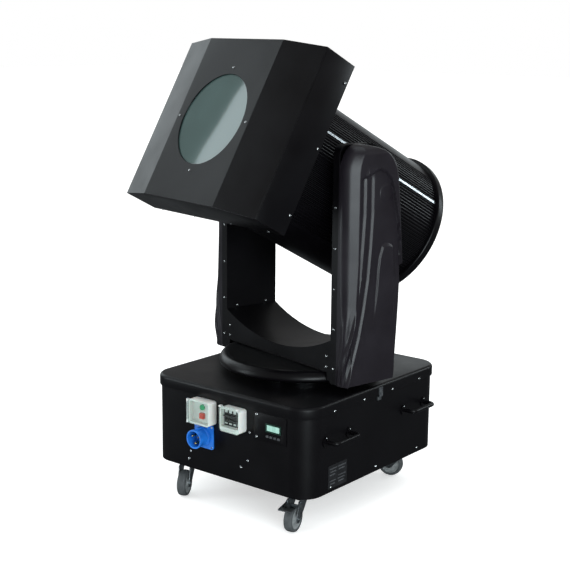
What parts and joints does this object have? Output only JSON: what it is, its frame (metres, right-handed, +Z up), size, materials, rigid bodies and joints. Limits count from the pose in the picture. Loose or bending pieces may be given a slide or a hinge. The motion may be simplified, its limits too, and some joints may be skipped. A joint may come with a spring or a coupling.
{
  "type": "moving head light",
  "caption": "Moving head searchlight: a ribbed drum lamp with a big faceted front box tilts between two arms on a panning yoke over a castor base with switch boxes and grab handles.",
  "frame": {"origin": "on the pan axis, at floor level under the castors", "axes": "+Z up along the pan axis; the control face of the base looks along -Y; +X to the right of someone facing that face from behind the light's back, so the right arm is at +X"},
  "size_m": [0.7005, 0.8793, 1.2933],
  "materials": {
    "black_steel": "semi-gloss black powder coat",
    "black_aluminium": "black stove enamel on extruded aluminium",
    "black_abs": "satin black moulded plastic",
    "black_plastic": "fine grained black plastic",
    "bare_aluminium": "machined",
    "zinc_steel": "bright zinc plated",
    "grey_steel": "grey enamel",
    "motor_black": "satin black with bright end caps",
    "screw_steel": "bright nickel plated",
    "white_plastic": "smooth off-white",
    "clear_plastic": "clear moulded cover",
    "blue_plastic": "bright blue industrial plastic",
    "green_plastic": "smooth green",
    "red_plastic": "smooth red",
    "grey_plastic": "dark grey",
    "display_glass": "pale backlit window",
    "tyre_grey": "grey non-marking rubber",
    "belt_rubber": "toothed belt",
    "lens_glass": "tempered, faint green-grey tint",
    "mirror": "polished aluminium reflector",
    "quartz": "clear quartz with metal ends"
  },
  "bodies": {
    "base": {"base_floor": "black_steel", "base_shell": "black_steel", "base_lid": "black_steel", "control_panel": "black_steel", "display_window": "display_glass", "starter_box": "white_plastic", "breaker_box": "white_plastic", "breaker_block": "grey_plastic", "power_inlet": "blue_plastic", "grab_handles": "black_aluminium", "lid_strap": "zinc_steel", "base_screws": "screw_steel", "castor_plates": "zinc_steel", "pan_bearing": "bare_aluminium", "pan_motor": "motor_black", "pan_belt": "belt_rubber", "lamp_ballast": "grey_steel"},
    "yoke": {"turntable": "black_aluminium", "pan_pulley": "bare_aluminium", "yoke_bridge": "black_steel", "left_arm_frame": "black_steel", "right_arm_frame": "black_steel", "left_arm_cover": "black_abs", "right_arm_cover": "black_abs", "tilt_motor": "motor_black", "tilt_belt": "belt_rubber", "yoke_screws": "screw_steel"},
    "head": {"head_box": "black_aluminium", "front_panel": "black_aluminium", "lens_ring": "black_aluminium", "lens_glass": "lens_glass", "drum": "black_aluminium", "rear_ring": "black_aluminium", "rear_cover": "black_aluminium", "reflector": "mirror", "lamp": "quartz", "trunnions": "zinc_steel", "tilt_pulley": "bare_aluminium", "head_screws": "screw_steel"},
    "pan_pinion": {"pan_pinion": "bare_aluminium"},
    "tilt_pinion": {"tilt_pinion": "bare_aluminium"},
    "fan_rotor": {"fan_rotor": "black_plastic"},
    "menu_button_1": {"menu_button_1": "grey_plastic"},
    "menu_button_2": {"menu_button_2": "grey_plastic"},
    "menu_button_3": {"menu_button_3": "grey_plastic"},
    "menu_button_4": {"menu_button_4": "grey_plastic"},
    "start_button": {"start_button": "green_plastic"},
    "stop_button": {"stop_button": "red_plastic"},
    "starter_cover": {"starter_cover": "clear_plastic"},
    "breaker_cover": {"breaker_cover": "clear_plastic"},
    "breaker_lever": {"breaker_lever": "black_plastic"},
    "castor_fork_1": {"castor_fork_1": "zinc_steel"},
    "castor_wheel_1": {"castor_wheel_1": "tyre_grey"},
    "castor_fork_2": {"castor_fork_2": "zinc_steel"},
    "castor_wheel_2": {"castor_wheel_2": "tyre_grey"},
    "castor_fork_3": {"castor_fork_3": "zinc_steel"},
    "castor_wheel_3": {"castor_wheel_3": "tyre_grey"},
    "castor_fork_4": {"castor_fork_4": "zinc_steel"},
    "castor_wheel_4": {"castor_wheel_4": "tyre_grey"},
    "castor_brake": {"castor_brake": "zinc_steel"}
  },
  "joints": [
    {"name": "pan", "type": "hinge", "parent": "base", "child": "yoke", "pos_m": [0, 0, 0], "axis": [0, 0, 1], "range_deg": [-257.5, 282.5]},
    {"name": "tilt", "type": "hinge", "parent": "yoke", "child": "head", "pos_m": [0, 0, 0.916], "axis": [-0.9763, 0.2164, 0], "range_deg": [-46.5, 169.5]},
    {"name": "pan_pinion_turn", "type": "hinge", "parent": "base", "child": "pan_pinion", "pos_m": [0.178, 0, 0], "axis": [0, 0, 1], "continuous": true},
    {"name": "tilt_pinion_turn", "type": "hinge", "parent": "yoke", "child": "tilt_pinion", "pos_m": [0, 0, 0.64], "axis": [-0.9763, 0.2164, 0], "continuous": true},
    {"name": "fan_turn", "type": "hinge", "parent": "head", "child": "fan_rotor", "pos_m": [0, 0, 0.916], "axis": [0.1902, 0.858, -0.4772], "continuous": true},
    {"name": "menu_button_1_press", "type": "slide", "parent": "base", "child": "menu_button_1", "axis": [0, 1, 0], "range_m": [0, 0.0015], "stiffness_N_per_m": 300, "springref_m": -0.001},
    {"name": "menu_button_2_press", "type": "slide", "parent": "base", "child": "menu_button_2", "axis": [0, 1, 0], "range_m": [0, 0.0015], "stiffness_N_per_m": 300, "springref_m": -0.001},
    {"name": "menu_button_3_press", "type": "slide", "parent": "base", "child": "menu_button_3", "axis": [0, 1, 0], "range_m": [0, 0.0015], "stiffness_N_per_m": 300, "springref_m": -0.001},
    {"name": "menu_button_4_press", "type": "slide", "parent": "base", "child": "menu_button_4", "axis": [0, 1, 0], "range_m": [0, 0.0015], "stiffness_N_per_m": 300, "springref_m": -0.001},
    {"name": "start_press", "type": "slide", "parent": "base", "child": "start_button", "axis": [0, 1, 0], "range_m": [0, 0.003], "stiffness_N_per_m": 300, "springref_m": -0.002},
    {"name": "stop_press", "type": "slide", "parent": "base", "child": "stop_button", "axis": [0, 1, 0], "range_m": [0, 0.003], "stiffness_N_per_m": 300, "springref_m": -0.002},
    {"name": "starter_cover_hinge", "type": "hinge", "parent": "base", "child": "starter_cover", "pos_m": [-0.1148, -0.3578, 0.286], "axis": [0, 0, -1], "range_deg": [0, 110]},
    {"name": "breaker_cover_hinge", "type": "hinge", "parent": "base", "child": "breaker_cover", "pos_m": [0.038, -0.3578, 0.3228], "axis": [-1, 0, 0], "range_deg": [0, 95]},
    {"name": "breaker_lever_throw", "type": "hinge", "parent": "base", "child": "breaker_lever", "pos_m": [0.038, -0.336, 0.291], "axis": [1, 0, 0], "range_deg": [0, 44]},
    {"name": "castor_1_swivel", "type": "hinge", "parent": "base", "child": "castor_fork_1", "pos_m": [0.205, -0.26, 0], "axis": [0, 0, 1], "continuous": true},
    {"name": "castor_1_roll", "type": "hinge", "parent": "castor_fork_1", "child": "castor_wheel_1", "pos_m": [0.21249, -0.29521, 0.0375], "axis": [0.9781, 0.2079, 0], "continuous": true},
    {"name": "castor_2_swivel", "type": "hinge", "parent": "base", "child": "castor_fork_2", "pos_m": [-0.205, -0.26, 0], "axis": [0, 0, 1], "continuous": true},
    {"name": "castor_2_roll", "type": "hinge", "parent": "castor_fork_2", "child": "castor_wheel_2", "pos_m": [-0.18979, -0.29263, 0.0375], "axis": [0.9063, 0.4226, 0], "continuous": true},
    {"name": "castor_3_swivel", "type": "hinge", "parent": "base", "child": "castor_fork_3", "pos_m": [0.205, 0.24, 0], "axis": [0, 0, 1], "continuous": true},
    {"name": "castor_3_roll", "type": "hinge", "parent": "castor_fork_3", "child": "castor_wheel_3", "pos_m": [0.17023, 0.23068, 0.0375], "axis": [0.2588, -0.9659, 0], "continuous": true},
    {"name": "castor_4_swivel", "type": "hinge", "parent": "base", "child": "castor_fork_4", "pos_m": [-0.205, 0.24, 0], "axis": [0, 0, 1], "continuous": true},
    {"name": "castor_4_roll", "type": "hinge", "parent": "castor_fork_4", "child": "castor_wheel_4", "pos_m": [-0.18186, 0.21242, 0.0375], "axis": [0.766, 0.6428, 0], "continuous": true},
    {"name": "castor_brake_press", "type": "hinge", "parent": "castor_fork_1", "child": "castor_brake", "pos_m": [0.21124, -0.28934, 0.082], "axis": [0.9781, 0.2079, 0], "range_deg": [0, 7]}
  ],
  "couplings": [
    {"joint": "pan_pinion_turn", "follows": "pan", "ratio": 5},
    {"joint": "tilt_pinion_turn", "follows": "tilt", "ratio": 3}
  ]
}
